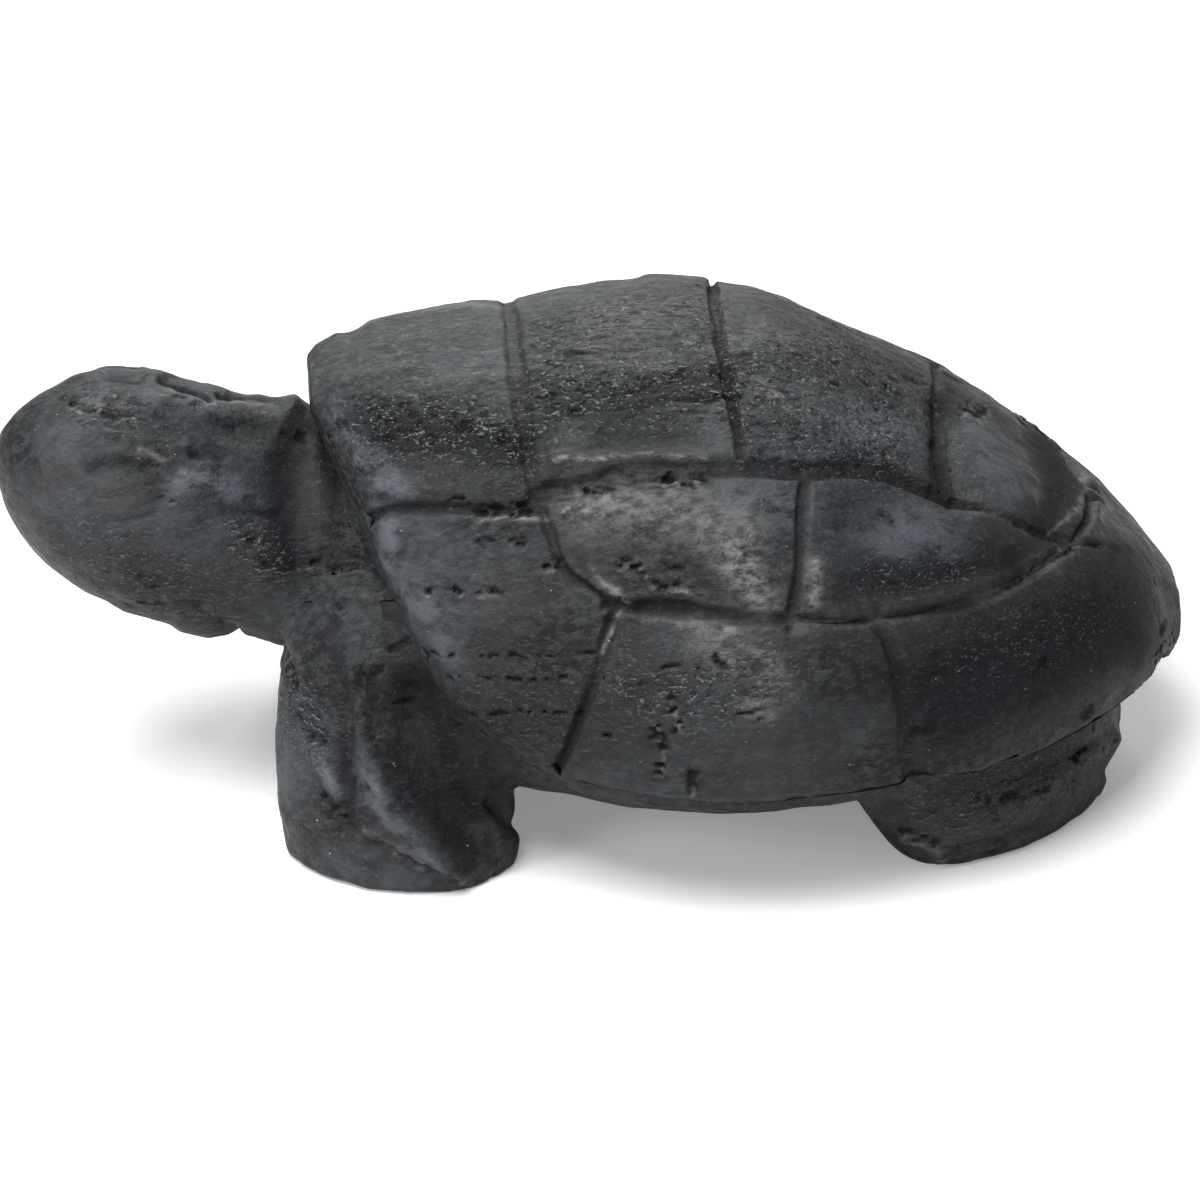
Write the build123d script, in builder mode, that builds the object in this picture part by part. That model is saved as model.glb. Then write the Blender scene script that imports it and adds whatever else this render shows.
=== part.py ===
from build123d import *
import os
from math import cos, copysign, pi, radians, sin, tan

# A small turtle carved by hand from one pebble of dark stone, standing on its four feet.
# It has no moving parts. Each piece is one of the forms that the carver worked out of the
# stone, a closed solid that meets its neighbours face to face.
# +X looks along the head, +Y is the turtle's left and +Z is up.
# The origin is on the ground, under the middle of the whole figure.

os.makedirs("parts", exist_ok=True)

# Shell, in millimetres
shell_length = 55.5
shell_width = 42.0
shell_rise = 22.7
rim_height = 8.5
nuchal_height = 27.0
front_slope = 63
front_bend_radius = 9.0
arch_fullness = 2.35
arch_facets = 20

# Grooves between the scutes
groove_width = 1.6
groove_depth = 0.5

# Body under the shell
rim_overhang = 2.0
chest_setback = 2.4
belly_height = 5.4
bowl_share = 0.28

# Head and neck
head_reach = 19.5
head_length = 29.0
head_thickness = 15.4
head_tip_height = 24.5
head_drop = 23

# Front feet and legs
front_foot_length = 15.4
front_foot_width = 10.4
front_leg_drop = 9.0
front_foot_setback = 4.7
front_foot_inset = 10.5
front_foot_turn = -14

# Hind feet and legs
hind_foot_length = 19.4
hind_foot_width = 9.0
hind_leg_overlap = 5.5
hind_foot_lead = 14.4
hind_foot_shift = 1.35
hind_foot_turn = 33

# Tail
tail_length = 9.0
tail_thickness = 4.6
tail_setback = 2.2
tail_drop = 2.3

# Legs: flat facets round each one, and the roundness of its slices
leg_facets = 18
leg_fullness = 2.0

# One overrun for every cut
overrun = 4.0

# Places that follow from the sizes
tail_end = -(shell_length + head_reach) / 2
nuchal = tail_end + shell_length
head_tip = nuchal + head_reach
rim_corner = nuchal - (nuchal_height - rim_height) / tan(radians(front_slope))

# Dome: shares of the shell's length back from its front edge, of its half width
# at the rim and of its rise
dome_shares = (
    (0.0, 0.42, 0.90),
    (0.07, 0.60, 0.955),
    (0.14, 0.71, 0.975),
    (0.23, 0.81, 0.99),
    (0.33, 0.93, 1.0),
    (0.43, 0.99, 0.995),
    (0.55, 0.99, 0.925),
    (0.66, 0.94, 0.785),
    (0.78, 0.825, 0.62),
    (0.89, 0.60, 0.425),
    (0.96, 0.37, 0.25),
    (1.0, 0.16, 0.13),
)


def rounded(angle, fullness):
    """Shares across and up of a point on an oval that is fuller than an ellipse above 2."""
    across = copysign(abs(cos(angle)) ** (2 / fullness), cos(angle))
    up = copysign(abs(sin(angle)) ** (2 / fullness), sin(angle))
    return across, up


def arch_points(half_width, rise):
    """Corners of a faceted arch that stands on the height of the rim."""
    corners = [rounded(pi * step / arch_facets, arch_fullness) for step in range(arch_facets + 1)]
    return [(half_width * across, rim_height + rise * up) for across, up in corners]


def shell_slice(row, inset):
    """One slice of the dome, going on below the rim."""
    along, across, up = row
    half_width = across * shell_width / 2 - inset
    rise = up * shell_rise - inset
    foot = rim_height - overrun
    with BuildSketch(Plane.YZ.offset(nuchal - along * shell_length)) as sketch:
        Polygon(*arch_points(half_width, rise), (-half_width, foot), (half_width, foot), align=None)
    return sketch.sketch


with BuildPart() as dome:
    loft(sections=[shell_slice(row, 0) for row in dome_shares], ruled=True)

# Everything below the shell: a level rim that turns up into the slanting front edge
with BuildPart() as under_shell:
    with BuildSketch(Plane.XZ) as under_sketch:
        with BuildLine():
            front_x = nuchal + overrun
            front_z = nuchal_height + overrun * tan(radians(front_slope))
            FilletPolyline(
                (tail_end - overrun, rim_height),
                (rim_corner, rim_height),
                (front_x, front_z),
                radius=front_bend_radius,
            )
            Polyline(
                (front_x, front_z),
                (front_x, -overrun),
                (tail_end - overrun, -overrun),
                (tail_end - overrun, rim_height),
            )
        make_face()
    extrude(amount=shell_width, both=True)


# The same dome, lower by the depth of the grooves
with BuildPart() as groove_floor:
    loft(sections=[shell_slice(row, groove_depth) for row in dome_shares], ruled=True)

# Grooves over the ridge, seen from above: shares of the shell's length back from its
# front edge and of its half width, from the right side to the left
ridge_groove_shares = (
    ((0.243, -0.62), (0.234, -0.42), (0.23, 0.0), (0.234, 0.42), (0.243, 0.62)),
    ((0.474, -0.60), (0.470, -0.32), (0.461, 0.06), (0.458, 0.40), (0.460, 0.60)),
    ((0.742, -0.48), (0.733, -0.39), (0.706, 0.21), (0.694, 0.50)),
)

# Grooves beside the ridge, in the same shares, for both sides
crown_groove_shares = (
    # from the groove behind the first plate down to the rim plates
    ((0.243, 0.62), (0.268, 0.73), (0.321, 0.82)),
    # beside the first plate
    ((-0.05, 0.36), (0.077, 0.475), (0.181, 0.575), (0.245, 0.62)),
    # beside the other plates, down to the rear
    (
        (0.243, 0.59),
        (0.36, 0.612),
        (0.46, 0.61),
        (0.54, 0.59),
        (0.62, 0.50),
        (0.694, 0.505),
        (0.80, 0.44),
        (0.885, 0.32),
    ),
    # between the side plates
    ((0.537, 0.60), (0.52, 0.74), (0.505, 0.90)),
)

# Grooves of the flank, seen from the side: shares of the shell's length back from its
# front edge and of its rise over the rim
flank_groove_shares = (
    # along the flank and over the rear
    ((0.31, 0.548), (0.45, 0.53), (0.62, 0.49), (0.75, 0.47), (0.85, 0.45), (0.93, 0.385)),
    # from there down to the rim
    ((0.321, 0.56), (0.297, 0.38), (0.262, 0.13), (0.24, -0.1)),
    ((0.605, 0.50), (0.618, 0.37), (0.637, 0.08), (0.645, -0.1)),
)


def groove_lines(table, out_size, out_start):
    """Strips along the rows of a table, as wide as a groove."""
    for row in table:
        points = [(nuchal - along * shell_length, out_start + out * out_size) for along, out in row]
        with BuildLine() as line:
            Spline(*points)
        trace(line.line, line_width=groove_width)


with BuildPart() as grooves:
    with BuildSketch():
        groove_lines(crown_groove_shares, shell_width / 2, 0)
        mirror(about=Plane.XZ)
        groove_lines(ridge_groove_shares, shell_width / 2, 0)
    extrude(amount=rim_height + shell_rise + overrun)
    with BuildSketch(Plane.XZ):
        groove_lines(flank_groove_shares, shell_rise, rim_height)
    extrude(amount=shell_width / 2 + overrun, both=True)
    add(groove_floor.part, mode=Mode.SUBTRACT)

with BuildPart() as carapace:
    add(dome.part)
    add(grooves.part, mode=Mode.SUBTRACT)
    add(under_shell.part, mode=Mode.SUBTRACT)

carapace.part.label = "carapace"
export_step(carapace.part, "parts/carapace.step")


def body_slice(row):
    """One slice of the body: the shell's arch set in, over a shallow bowl."""
    along, across, up = row
    half_width = across * shell_width / 2 - rim_overhang
    arch = arch_points(half_width, up * shell_rise - rim_overhang)
    bowl = [(-side, rim_height - (height - rim_height) * bowl_share) for side, height in arch[1:-1]]
    body_length = shell_length - chest_setback - rim_overhang
    with BuildSketch(Plane.YZ.offset(nuchal - chest_setback - along * body_length)) as sketch:
        Polygon(*arch, *bowl, align=None)
    return sketch.sketch


with BuildPart() as body:
    loft(sections=[body_slice(row) for row in dome_shares], ruled=True)
    add(under_shell.part, mode=Mode.INTERSECT)
    split(bisect_by=Plane.XY.offset(belly_height), keep=Keep.TOP)

body.part.label = "body"
export_step(body.part, "parts/body.step")

# Head and neck, turned about an axis that drops towards the body: shares of the head's
# length back from the tip and of its half thickness
head_shares = (
    (0.0, 0.0),
    (0.004, 0.12),
    (0.02, 0.27),
    (0.055, 0.46),
    (0.11, 0.66),
    (0.18, 0.84),
    (0.27, 0.97),
    (0.38, 1.0),
    (0.52, 0.96),
    (0.66, 0.92),
    (0.82, 0.92),
    (1.0, 0.93),
)

# The tilt brings the chin ahead of the tip of the axis by this much
head_tilt = radians(head_drop)
head_outline = [(back * head_length, out * head_thickness / 2) for back, out in head_shares]
chin_lead = max(out * sin(head_tilt) - back * cos(head_tilt) for back, out in head_outline)

head_plane = Plane(
    origin=(head_tip - chin_lead, 0, head_tip_height),
    x_dir=(-cos(head_tilt), 0, -sin(head_tilt)),
    z_dir=(0, -1, 0),
)

with BuildPart() as head_and_neck:
    with BuildSketch(head_plane):
        Polygon(*head_outline, (head_length, 0), align=None)
    revolve(axis=Axis(head_plane.origin, head_plane.x_dir))
    add(body.part, mode=Mode.SUBTRACT)
    add(carapace.part, mode=Mode.SUBTRACT)

head_and_neck.part.label = "head_and_neck"
export_step(head_and_neck.part, "parts/head_and_neck.step")

# Front leg: shares of its height, of the foot's length forward and width outward from
# the foot's middle, and of the foot's length and width
front_leg_shares = (
    (0.0, 0.0, 0.06, 0.95, 0.92),
    (0.2, 0.01, 0.05, 1.0, 1.0),
    (0.4, 0.02, -0.01, 0.97, 0.97),
    (0.6, 0.02, -0.12, 0.93, 0.92),
    (0.8, 0.0, -0.25, 0.86, 0.86),
    (1.0, -0.06, -0.40, 0.75, 0.77),
)

# Hind leg, in the same shares
hind_leg_shares = (
    (0.0, -0.10, 0.0, 0.80, 0.86),
    (0.12, -0.08, 0.0, 0.94, 0.96),
    (0.33, -0.06, 0.0, 1.11, 1.0),
    (0.66, 0.02, -0.05, 1.16, 1.05),
    (1.0, 0.08, -0.1, 1.02, 1.0),
)


def leg_slice(row, middle, height, length, width, turn):
    """One faceted oval slice of a leg, turned to the way the foot points."""
    up, ahead, outward, long, wide = row
    corners = [rounded(2 * pi * step / leg_facets, leg_fullness) for step in range(leg_facets)]
    oval = [(long * length / 2 * front, wide * width / 2 * side) for front, side in corners]
    with BuildSketch(Plane.XY.offset(up * height)) as sketch:
        with Locations((middle[0] + ahead * length, middle[1] + outward * width)):
            Polygon(*oval, rotation=turn, align=None)
    return sketch.sketch


with BuildPart() as front_leg:
    front_middle = (nuchal - front_foot_setback, shell_width / 2 - front_foot_inset)
    front_leg_height = nuchal_height - front_leg_drop
    front_sizes = (front_leg_height, front_foot_length, front_foot_width, front_foot_turn)
    loft(sections=[leg_slice(row, front_middle, *front_sizes) for row in front_leg_shares], ruled=True)

# The hind foot stands between the tail and the side of the shell, nearer to the tail
with BuildPart() as hind_leg:
    between_sides = (tail_thickness + shell_width) / 4
    hind_middle = (tail_end + hind_foot_lead, between_sides - hind_foot_shift)
    hind_leg_height = rim_height + hind_leg_overlap
    hind_sizes = (hind_leg_height, hind_foot_length, hind_foot_width, hind_foot_turn)
    loft(sections=[leg_slice(row, hind_middle, *hind_sizes) for row in hind_leg_shares], ruled=True)

# Each leg ends under the shell, and the body and the neck take their room from it
with BuildPart() as front_left_leg:
    add(front_leg.part)
    add(under_shell.part, mode=Mode.INTERSECT)
    add([body.part, head_and_neck.part], mode=Mode.SUBTRACT)

front_left_leg.part.label = "front_left_leg"
export_step(front_left_leg.part, "parts/front_left_leg.step")

with BuildPart() as front_right_leg:
    add(front_leg.part.mirror(Plane.XZ))
    add(under_shell.part, mode=Mode.INTERSECT)
    add([body.part, head_and_neck.part], mode=Mode.SUBTRACT)

front_right_leg.part.label = "front_right_leg"
export_step(front_right_leg.part, "parts/front_right_leg.step")

with BuildPart() as hind_left_leg:
    add(hind_leg.part)
    add(under_shell.part, mode=Mode.INTERSECT)
    add(body.part, mode=Mode.SUBTRACT)

hind_left_leg.part.label = "hind_left_leg"
export_step(hind_left_leg.part, "parts/hind_left_leg.step")

with BuildPart() as hind_right_leg:
    add(hind_leg.part.mirror(Plane.XZ))
    add(under_shell.part, mode=Mode.INTERSECT)
    add(body.part, mode=Mode.SUBTRACT)

hind_right_leg.part.label = "hind_right_leg"
export_step(hind_right_leg.part, "parts/hind_right_leg.step")

# Tail: shares of its length forward from the tip and of its half thickness
tail_shares = ((0.0, 0.0), (0.02, 0.25), (0.1, 0.5), (0.25, 0.73), (0.5, 0.9), (1.0, 1.0))

tail_tip = (tail_end + tail_setback, 0, rim_height - tail_drop)

with BuildPart() as tail:
    with BuildSketch(Plane.XZ.shift_origin(tail_tip)):
        tail_outline = [(ahead * tail_length, out * tail_thickness / 2) for ahead, out in tail_shares]
        Polygon(*tail_outline, (tail_length, 0), align=None)
    revolve(axis=Axis(tail_tip, (1, 0, 0)))
    add(under_shell.part, mode=Mode.INTERSECT)
    add([body.part, hind_left_leg.part, hind_right_leg.part], mode=Mode.SUBTRACT)

tail.part.label = "tail"
export_step(tail.part, "parts/tail.step")
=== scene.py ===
import math

import bmesh
import bpy
import numpy as np
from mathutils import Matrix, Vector
from mathutils.bvhtree import BVHTree


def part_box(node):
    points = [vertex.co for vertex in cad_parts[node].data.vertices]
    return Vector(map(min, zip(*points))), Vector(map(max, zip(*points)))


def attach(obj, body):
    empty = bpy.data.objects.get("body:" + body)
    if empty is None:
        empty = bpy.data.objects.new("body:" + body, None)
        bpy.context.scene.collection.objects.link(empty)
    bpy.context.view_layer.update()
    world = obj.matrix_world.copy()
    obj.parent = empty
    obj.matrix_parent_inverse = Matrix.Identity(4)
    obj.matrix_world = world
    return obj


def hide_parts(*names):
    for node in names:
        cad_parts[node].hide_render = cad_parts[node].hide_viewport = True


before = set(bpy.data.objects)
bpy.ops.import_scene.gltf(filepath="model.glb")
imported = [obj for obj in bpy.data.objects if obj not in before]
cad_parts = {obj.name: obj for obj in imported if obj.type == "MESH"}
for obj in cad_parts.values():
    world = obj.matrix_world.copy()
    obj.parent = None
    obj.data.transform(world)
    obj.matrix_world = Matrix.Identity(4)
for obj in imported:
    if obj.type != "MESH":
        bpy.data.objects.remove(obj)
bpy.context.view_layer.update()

MM = 0.001

# The camera stands where the photograph was taken from: on the turtle's left, looking down
PHOTO_SIZE = 1200
CAMERA_AZIMUTH = math.radians(5)
CAMERA_ELEVATION = math.radians(30)
CAMERA_DISTANCE = 260 * MM
CAMERA_TARGET = np.array((0, 0, 12 * MM))
TARGET_PX = (597, 590)
FOCAL_PX = 4056
SENSOR = 36.0

# Shell: its box from model.glb, the rest as in the CAD source
SHELL_LOW, SHELL_HIGH = (np.array(corner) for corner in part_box("carapace"))
SHELL_LENGTH = SHELL_HIGH[0] - SHELL_LOW[0]
NUCHAL = SHELL_HIGH[0]
RIM_HEIGHT = SHELL_LOW[2]
SHELL_RISE = SHELL_HIGH[2] - SHELL_LOW[2]
WIDEST_SHARE = 0.99
HALF_WIDTH = SHELL_HIGH[1] / WIDEST_SHARE
NUCHAL_HEIGHT = RIM_HEIGHT + 18.5 * MM
FRONT_SLOPE = math.radians(63)
FRONT_BEND = 9 * MM
ARCH_FULLNESS = 2.35
# The arch is followed to just short of its end
ARCH_END = 0.999

# Shares of the shell's length back from its front edge, of its half width and of its rise
DOME_SHARES = np.array((
    (0.0, 0.42, 0.90),
    (0.07, 0.60, 0.955),
    (0.14, 0.71, 0.975),
    (0.23, 0.81, 0.99),
    (0.33, 0.93, 1.0),
    (0.43, 0.99, 0.995),
    (0.55, 0.99, 0.925),
    (0.66, 0.94, 0.785),
    (0.78, 0.825, 0.62),
    (0.89, 0.60, 0.425),
    (0.96, 0.37, 0.25),
    (1.0, 0.16, 0.13),
))

# Grooves seen from above: half width and depth in millimetres, how much dust lies in them,
# and the line in shares of the shell's length and half width
RIDGE_GROOVES = (
    (0.55, 0.24, 0.4, (
        (0.243, -0.62), (0.234, -0.42), (0.23, 0.0), (0.234, 0.42), (0.243, 0.62))),
    (0.36, 0.42, 0.7, (
        (0.474, -0.60), (0.470, -0.32), (0.461, 0.06), (0.458, 0.40), (0.460, 0.60))),
    (0.40, 0.34, 0.3, ((0.742, -0.48), (0.733, -0.39), (0.706, 0.21), (0.694, 0.50))),
)
CROWN_GROOVES = (
    (0.42, 0.36, 0.3, ((0.243, 0.62), (0.268, 0.73), (0.321, 0.82))),
    (0.45, 0.36, 0.0, ((0.0, 0.38), (0.077, 0.475), (0.181, 0.575), (0.245, 0.62))),
    (0.72, 0.50, 0.0, (
        (0.243, 0.59), (0.36, 0.612), (0.46, 0.61), (0.54, 0.59), (0.62, 0.50), (0.694, 0.505))),
    (0.46, 0.38, 0.1, ((0.694, 0.505), (0.80, 0.44), (0.885, 0.32))),
    (0.46, 0.42, 0.8, ((0.537, 0.60), (0.52, 0.74), (0.505, 0.90))),
)
# Grooves seen from the side, in shares of the shell's length and rise
FLANK_GROOVES = (
    (0.54, 0.46, 0.35, (
        (0.31, 0.548), (0.45, 0.53), (0.62, 0.49), (0.75, 0.47), (0.85, 0.45), (0.93, 0.385))),
    (0.42, 0.40, 0.5, ((0.321, 0.56), (0.297, 0.38), (0.262, 0.13), (0.24, 0.0))),
    (0.80, 0.30, 1.0, ((0.605, 0.50), (0.618, 0.37), (0.637, 0.08), (0.645, 0.0))),
)

SHELL_VOXEL = 0.17 * MM
FLESH_VOXEL = 0.21 * MM
# What turns a point of one side into the same point of the other
MIRROR = np.array((1, -1, 1))

# Strokes of the carver's tool, placed by the photograph's pixels: height in metres, half
# width in pixels and the line that the stroke follows
SHELL_STROKES = (
    # crest beside the groove behind the first plate
    (0.22 * MM, 6, ((575, 545), (594, 580), (610, 596), (628, 606))),
    # ridge under the long groove of the flank
    (0.26 * MM, 8, (
        (812, 622), (880, 612), (930, 604), (987, 586),
        (1050, 562), (1086, 536), (1099, 505), (1092, 480))),
    # ledge over the groove beside the second plate, and the hollows under it
    (0.22 * MM, 5, ((556, 459), (600, 457), (640, 453), (680, 451), (708, 455))),
    (-0.30 * MM, 6, ((652, 476), (668, 479), (676, 474))),
    (-0.28 * MM, 5, ((690, 478), (702, 481))),
    # facet under the crown on the first two plates
    (-0.16 * MM, 26, ((345, 425), (420, 400), (510, 392), (620, 385), (725, 380))),
    (0.12 * MM, 12, ((330, 385), (420, 352), (510, 345), (620, 335), (735, 325))),
    (-0.14 * MM, 9, ((640, 350), (735, 344))),
    # valley before the fourth plate
    (-0.28 * MM, 13, ((940, 415), (948, 455), (958, 500))),
    (-0.20 * MM, 5, ((936, 440), (938, 490))),
    # hollow of the fourth plate, towards the rear
    (-0.30 * MM, 28, ((1030, 430), (1060, 480), (1050, 520))),
    (0.15 * MM, 12, ((975, 430), (995, 470), (1020, 500))),
    # hollows of the side plates
    (-0.22 * MM, 22, ((860, 545), (900, 578), (960, 560))),
    (0.20 * MM, 20, ((880, 515), (940, 530), (990, 520))),
    (0.20 * MM, 24, ((620, 520), (690, 515), (760, 545))),
    (0.14 * MM, 7, ((818, 560), (816, 600))),
)
# The lip below a chip, raised a little and painted pale as a highlight: how many pixels below the
# chip it lies, and its height
LIP_DROP = 5.0
LIP_HEIGHT = 0.05 * MM
# The depths at which the painted shade of a chip and, in millimetres, of a groove is at its darkest
FULL_CHIP = 0.22 * MM
FULL_GROOVE = 0.4
# How far, in pixels, a mark strays on the side that was seen and on its mirror image
VIEW_DRIFTS = (0.6, 1.6)
# Chips and gouges, broken up by the grain
SHELL_CHIPS = (
    (0.34 * MM, 4, ((433, 592), (446, 590), (462, 592))),
    (0.22 * MM, 4, ((480, 591), (500, 590))),
    (0.26 * MM, 4, ((478, 541), (492, 542))),
    (0.26 * MM, 4, ((512, 540), (524, 541))),
    (0.26 * MM, 5, ((542, 565), (556, 564))),
    (0.30 * MM, 5, ((618, 563), (636, 566), (644, 574))),
    (0.22 * MM, 5, ((668, 565), (680, 568))),
    (0.26 * MM, 6, ((652, 585), (690, 588))),
    (0.30 * MM, 5, ((655, 722), (661, 745), (660, 780))),
    (0.30 * MM, 5, ((673, 700), (680, 725), (676, 742))),
    (0.30 * MM, 5, ((692, 765), (694, 790))),
    (0.30 * MM, 6, ((470, 508), (500, 510), (530, 506))),
    (0.34 * MM, 7, ((652, 478), (680, 480), (700, 480))),
    (0.30 * MM, 6, ((580, 490), (612, 492))),
    (0.24 * MM, 6, ((712, 655), (724, 664))),
    (0.24 * MM, 6, ((740, 712), (770, 718))),
    (0.22 * MM, 6, ((1062, 540), (1075, 550))),
    (0.22 * MM, 5, ((1172, 640), (1160, 655), (1165, 672))),
    (0.26 * MM, 7, ((970, 410), (982, 416))),
)
# Rows of small pits along the first side plates: height in pixels, start and end
PIT_ROWS = (
    (654, 423, 600), (678, 445, 605), (714, 455, 600),
    (668, 640, 700), (738, 600, 660), (500, 440, 530),
)

HEAD_AND_LEG_STROKES = (
    # eye: the lids' lines and the soft round between them
    (-0.24 * MM, 6, ((90, 474), (106, 468), (126, 466), (145, 470))),
    (-0.16 * MM, 4, ((110, 514), (128, 519), (146, 518), (156, 514))),
    (0.20 * MM, 17, ((112, 492), (138, 494))),
    (0.14 * MM, 6, ((92, 458), (118, 454), (146, 457))),
    (-0.12 * MM, 10, ((166, 482), (170, 500))),
    # brow and the scratch on it
    (0.16 * MM, 9, ((60, 440), (105, 436), (140, 440))),
    (0.14 * MM, 2.5, ((141, 448), (155, 453), (168, 460))),
    (-0.14 * MM, 12, ((85, 408), (126, 412))),
    # dimple behind the eye, cheek and jaw
    (-0.26 * MM, 5, ((197, 453), (212, 451), (224, 456))),
    (0.22 * MM, 17, ((188, 486), (232, 488))),
    (-0.20 * MM, 5, ((222, 511), (250, 512), (281, 512))),
    (-0.20 * MM, 4, ((180, 602), (196, 600), (212, 604))),
    (-0.16 * MM, 6, ((246, 608), (276, 606))),
    (-0.40 * MM, 5, ((225, 622), (245, 622), (262, 618))),
    (0.30 * MM, 10, ((246, 636), (285, 640))),
    (0.18 * MM, 4, ((78, 582), (118, 602), (157, 615))),
    (-0.20 * MM, 5, ((70, 588), (112, 611), (152, 623))),
    # flat side of the head and lower edge of its top
    (-0.22 * MM, 34, ((70, 550), (160, 565), (235, 570))),
    (-0.16 * MM, 16, ((150, 425), (245, 432))),
    (0.18 * MM, 10, ((100, 395), (180, 402), (260, 418))),
    # marks on top of the head
    (-0.32 * MM, 6, ((105, 378), (120, 380), (136, 377))),
    (-0.42 * MM, 3.5, ((163, 377), (186, 385), (212, 399))),
    (-0.22 * MM, 2.5, ((170, 374), (204, 382))),
    (-0.40 * MM, 3.5, ((222, 396), (245, 400), (269, 407))),
    (-0.22 * MM, 2.5, ((233, 393), (264, 400))),
    # neck: filled at its top, with the crease over the leg
    (-0.22 * MM, 14, ((286, 470), (284, 520), (290, 565))),
    (0.25 * MM, 14, ((318, 450), (322, 520))),
    (-0.20 * MM, 5, ((288, 640), (300, 612), (322, 585), (336, 572))),
    (-0.20 * MM, 5, ((348, 580), (362, 612), (372, 650))),
    # front leg: its crests, the long hollow behind them and the toe
    (0.30 * MM, 8, ((312, 748), (326, 772), (337, 796))),
    (-0.26 * MM, 6, ((300, 760), (312, 780), (324, 802))),
    (-0.45 * MM, 10, ((352, 700), (350, 750), (346, 800), (346, 826))),
    (0.22 * MM, 5, ((366, 828), (388, 842), (420, 860))),
    (-0.30 * MM, 6, ((370, 842), (398, 858), (440, 880))),
    (0.75 * MM, 10, (
        (350, 668), (360, 712), (370, 750), (381, 786), (398, 818), (428, 850), (458, 872))),
    (-1.60 * MM, 28, ((410, 700), (428, 750), (452, 792), (478, 828))),
    (-0.80 * MM, 22, ((395, 650), (420, 700), (470, 750))),
    (-0.25 * MM, 16, ((310, 700), (322, 740))),
    (-0.22 * MM, 5, ((293, 668), (296, 690))),
    (-0.18 * MM, 5, ((306, 735), (318, 742))),
    (-0.22 * MM, 4, ((329, 818), (342, 832), (351, 830))),
    # hind foot
    (0.25 * MM, 5, ((902, 838), (925, 843), (942, 853))),
    (-0.25 * MM, 5, ((956, 846), (1000, 836), (1041, 823))),
    (0.25 * MM, 9, ((960, 826), (1010, 812), (1050, 790))),
    (-0.20 * MM, 7, ((1000, 782), (1050, 765), (1090, 742))),
    (-0.35 * MM, 22, ((890, 812), (900, 835))),
    (0.35 * MM, 9, ((1122, 745), (1122, 762))),
    (-0.30 * MM, 6, ((1112, 790), (1104, 800))),
)

HEAD_AND_LEG_CHIPS = (
    (0.24 * MM, 3.5, ((366, 835), (388, 848), (422, 866), (456, 880))),
    (0.22 * MM, 4, ((284, 672), (294, 676))),
    (0.24 * MM, 4, ((292, 664), (295, 690))),
    (0.22 * MM, 4, ((308, 735), (322, 744))),
    (0.24 * MM, 4, ((322, 800), (342, 820))),
    (0.20 * MM, 5, ((85, 408), (128, 414))),
    (0.22 * MM, 4, ((232, 536), (262, 542))),
    (0.22 * MM, 4, ((258, 560), (270, 568))),
    (0.20 * MM, 4, ((60, 400), (74, 404))),
    (0.20 * MM, 4, ((164, 494), (176, 500))),
    (0.24 * MM, 4, ((904, 832), (930, 840), (942, 850))),
    (0.24 * MM, 4, ((930, 862), (944, 866))),
    (0.22 * MM, 5, ((990, 800), (1050, 786))),
    (0.22 * MM, 5, ((1075, 760), (1095, 745))),
    (0.22 * MM, 4, ((296, 566), (318, 560))),
    (0.22 * MM, 4, ((336, 604), (344, 622))),
)
# Strokes that shape the outline on both sides: the front foot's waist and heel, the hind heel
FOOT_OUTLINE = (
    (-1.00 * MM, 9, ((506, 786), (504, 804))),
    (-0.55 * MM, 9, ((514, 822), (506, 806))),
    (0.25 * MM, 9, ((514, 840), (508, 856))),
    (0.35 * MM, 7, ((1120, 738), (1122, 750))),
    (-0.35 * MM, 5, ((1116, 762), (1112, 772))),
    (0.25 * MM, 6, ((1106, 782), (1100, 792))),
)
# Strokes that shape the outline in the picture: neck and chin, then the first plate's corner
HEAD_OUTLINE = (
    (0.45 * MM, 14, ((262, 400), (284, 412))),
    (0.95 * MM, 16, ((290, 416), (326, 428))),
    (-0.55 * MM, 9, ((236, 637), (262, 644), (284, 652))),
    (0.35 * MM, 10, ((184, 624), (208, 628))),
    (-0.25 * MM, 4, ((236, 630), (240, 640))),
)
SHELL_OUTLINE = (
    (0.35 * MM, 9, ((318, 347), (336, 339))),
    (0.22 * MM, 12, ((372, 318), (410, 306), (480, 298))),
    (0.22 * MM, 10, ((650, 274), (700, 274))),
)

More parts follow.
